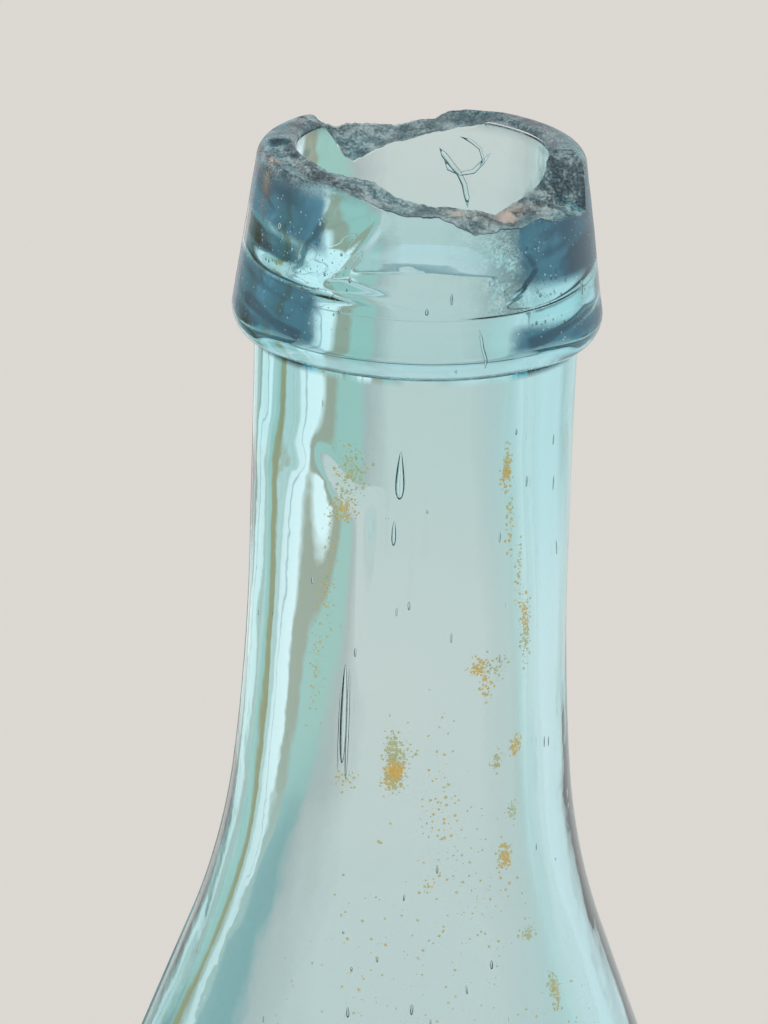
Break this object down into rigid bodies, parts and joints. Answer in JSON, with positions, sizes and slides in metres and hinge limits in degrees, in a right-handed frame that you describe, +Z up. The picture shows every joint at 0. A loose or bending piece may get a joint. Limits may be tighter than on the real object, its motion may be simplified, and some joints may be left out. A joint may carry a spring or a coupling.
{
  "type": "antique glass bottle",
  "caption": "Mouth-blown cylindrical aqua glass bottle with long neck and hand-applied tapered collar, its rim broken.",
  "frame": {"origin": "middle of the base, on the plane that the bottle stands on", "axes": "+Z up the neck to the mouth, -Y towards the front of the broken rim"},
  "size_m": [0.065, 0.065, 0.24],
  "materials": {
    "aqua_glass": "fire-polished, lightly weathered",
    "collar_glass": "tooled, scuffed, fractured at the rim"
  },
  "bodies": {
    "root": {"bottle_body": "aqua_glass", "applied_collar": "collar_glass"}
  },
  "joints": []
}
